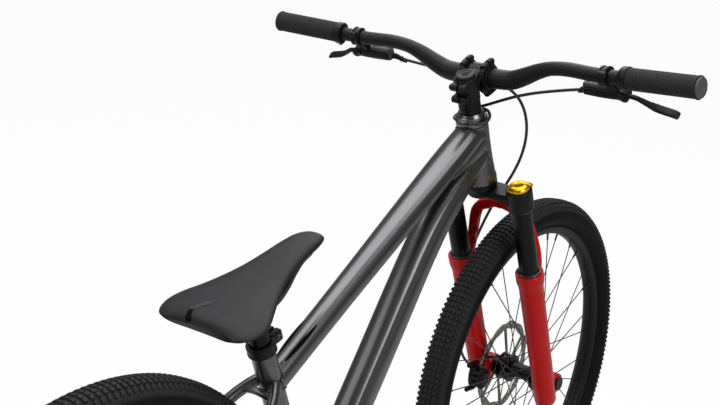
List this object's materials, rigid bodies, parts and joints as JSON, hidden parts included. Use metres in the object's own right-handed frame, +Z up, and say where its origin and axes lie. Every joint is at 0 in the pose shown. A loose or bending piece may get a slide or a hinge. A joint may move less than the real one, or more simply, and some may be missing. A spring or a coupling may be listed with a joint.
{
  "type": "dirt jump bike",
  "caption": "Low hardtail jump bike with a short suspension fork, riser bar, disc brakes, a single-speed chain drive and wide knobbly tyres.",
  "frame": {"origin": "on the ground, midway between the two wheel axles, in the bike's middle plane", "axes": "+X forwards along the bike, +Y to the rider's left, +Z up"},
  "size_m": [1.712, 0.7748, 0.9914],
  "materials": {
    "smoke_paint": "gloss",
    "black_metal": "satin",
    "dark_steel": "satin",
    "black_plastic": "matte",
    "grip_rubber": "matte",
    "gold_metal": "satin",
    "red_paint": "gloss",
    "tyre_rubber": "matte",
    "rotor_steel": "brushed",
    "saddle_cover": "matte"
  },
  "bodies": {
    "frame": {"frame": "smoke_paint", "headset_upper_cup": "black_metal", "headset_lower_cup": "black_metal", "seat_collar": "black_metal", "seat_collar_bolt": "dark_steel", "bracket_cup_left": "black_metal", "bracket_cup_right": "black_metal", "rear_axle": "dark_steel", "chain_tensioner_left": "dark_steel", "chain_tensioner_right": "dark_steel", "rear_caliper": "black_metal", "rear_brake_hose": "black_plastic", "rear_brake_hose_lower": "black_plastic", "chain": "dark_steel"},
    "steering": {"steerer_tube": "black_metal", "headset_top_cover": "smoke_paint", "stem_spacer": "black_metal", "stem": "black_metal", "stem_faceplate": "black_metal", "stem_cap": "black_metal", "handlebar": "black_metal", "grip_left": "grip_rubber", "grip_right": "grip_rubber", "grip_collar_left": "black_metal", "grip_collar_right": "black_metal", "brake_body_left": "black_metal", "brake_body_right": "black_metal", "fork_crown": "black_metal", "stanchion_left": "black_metal", "stanchion_right": "black_metal", "air_cap": "black_metal", "front_brake_hose": "black_plastic"},
    "lever_left": {"brake_lever_left": "black_metal"},
    "lever_right": {"brake_lever_right": "black_metal"},
    "compression_dial": {"compression_dial": "gold_metal"},
    "fork_lowers": {"fork_lowers": "red_paint", "fork_wiper_left": "grip_rubber", "fork_wiper_right": "grip_rubber", "front_axle": "black_metal", "front_caliper": "black_metal"},
    "rebound_knob": {"rebound_knob": "red_paint"},
    "front_wheel": {"front_tyre": "tyre_rubber", "front_rim": "black_metal", "front_hub_and_spokes": "black_metal", "front_rotor": "rotor_steel"},
    "rear_wheel": {"rear_tyre": "tyre_rubber", "rear_rim": "black_metal", "rear_hub_and_spokes": "black_metal", "rear_rotor": "rotor_steel"},
    "sprocket": {"sprocket": "dark_steel"},
    "crank": {"crank_spindle": "dark_steel", "chainring": "black_metal", "crank_arm_right": "black_metal", "crank_arm_left": "black_metal"},
    "pedal_right": {"pedal_right": "black_plastic"},
    "pedal_left": {"pedal_left": "black_plastic"},
    "saddle": {"seatpost": "black_metal", "saddle_clamp": "black_metal", "saddle_rails": "black_metal", "saddle": "saddle_cover"}
  },
  "joints": [
    {"name": "steering", "type": "hinge", "parent": "frame", "child": "steering", "pos_m": [0.3241, 0, 0.74012], "axis": [-0.3567, 0, 0.9342], "range_deg": [-180, 180], "deforming": ["rear_brake_hose"]},
    {"name": "brake_lever_left", "type": "hinge", "parent": "steering", "child": "lever_left", "pos_m": [0.30025, 0.25, 0.93553], "axis": [0.7071, 0, 0.7071], "range_deg": [0, 22], "stiffness_Nm_per_rad": 0.4, "springref_deg": -8.59},
    {"name": "brake_lever_right", "type": "hinge", "parent": "steering", "child": "lever_right", "pos_m": [0.30025, -0.25, 0.93553], "axis": [-0.7071, 0, -0.7071], "range_deg": [0, 22], "stiffness_Nm_per_rad": 0.4, "springref_deg": -8.59},
    {"name": "compression_dial", "type": "hinge", "parent": "steering", "child": "compression_dial", "pos_m": [0.32713, -0.0685, 0.74984], "axis": [-0.3567, 0, 0.9342], "range_deg": [0, 90]},
    {"name": "fork_travel", "type": "slide", "parent": "steering", "child": "fork_lowers", "axis": [-0.3567, 0, 0.9342], "range_m": [0, 0.08], "stiffness_N_per_m": 4000, "springref_m": -0.03, "deforming": ["front_brake_hose"]},
    {"name": "rebound_knob", "type": "hinge", "parent": "fork_lowers", "child": "rebound_knob", "pos_m": [0.49944, -0.0685, 0.29862], "axis": [-0.3567, 0, 0.9342], "range_deg": [0, 300]},
    {"name": "front_wheel", "type": "hinge", "parent": "fork_lowers", "child": "front_wheel", "pos_m": [0.522, 0, 0.334], "axis": [0, 1, 0], "continuous": true},
    {"name": "rear_wheel", "type": "hinge", "parent": "frame", "child": "rear_wheel", "pos_m": [-0.522, 0, 0.334], "axis": [0, 1, 0], "continuous": true},
    {"name": "crank", "type": "hinge", "parent": "frame", "child": "crank", "pos_m": [-0.115, 0, 0.32], "axis": [0, 1, 0], "continuous": true, "deforming": ["chain"]},
    {"name": "sprocket", "type": "hinge", "parent": "frame", "child": "sprocket", "pos_m": [-0.522, 0, 0.334], "axis": [0, 1, 0], "continuous": true},
    {"name": "pedal_right", "type": "hinge", "parent": "crank", "child": "pedal_right", "pos_m": [0.05, -0.13, 0.32], "axis": [0, 1, 0], "continuous": true},
    {"name": "pedal_left", "type": "hinge", "parent": "crank", "child": "pedal_left", "pos_m": [-0.28, 0.13, 0.32], "axis": [0, 1, 0], "continuous": true},
    {"name": "seat_height", "type": "slide", "parent": "frame", "child": "saddle", "axis": [-0.3338, 0, 0.9426], "range_m": [0, 0.1]}
  ],
  "couplings": [
    {"joint": "sprocket", "follows": "crank", "ratio": 2.3333}
  ]
}
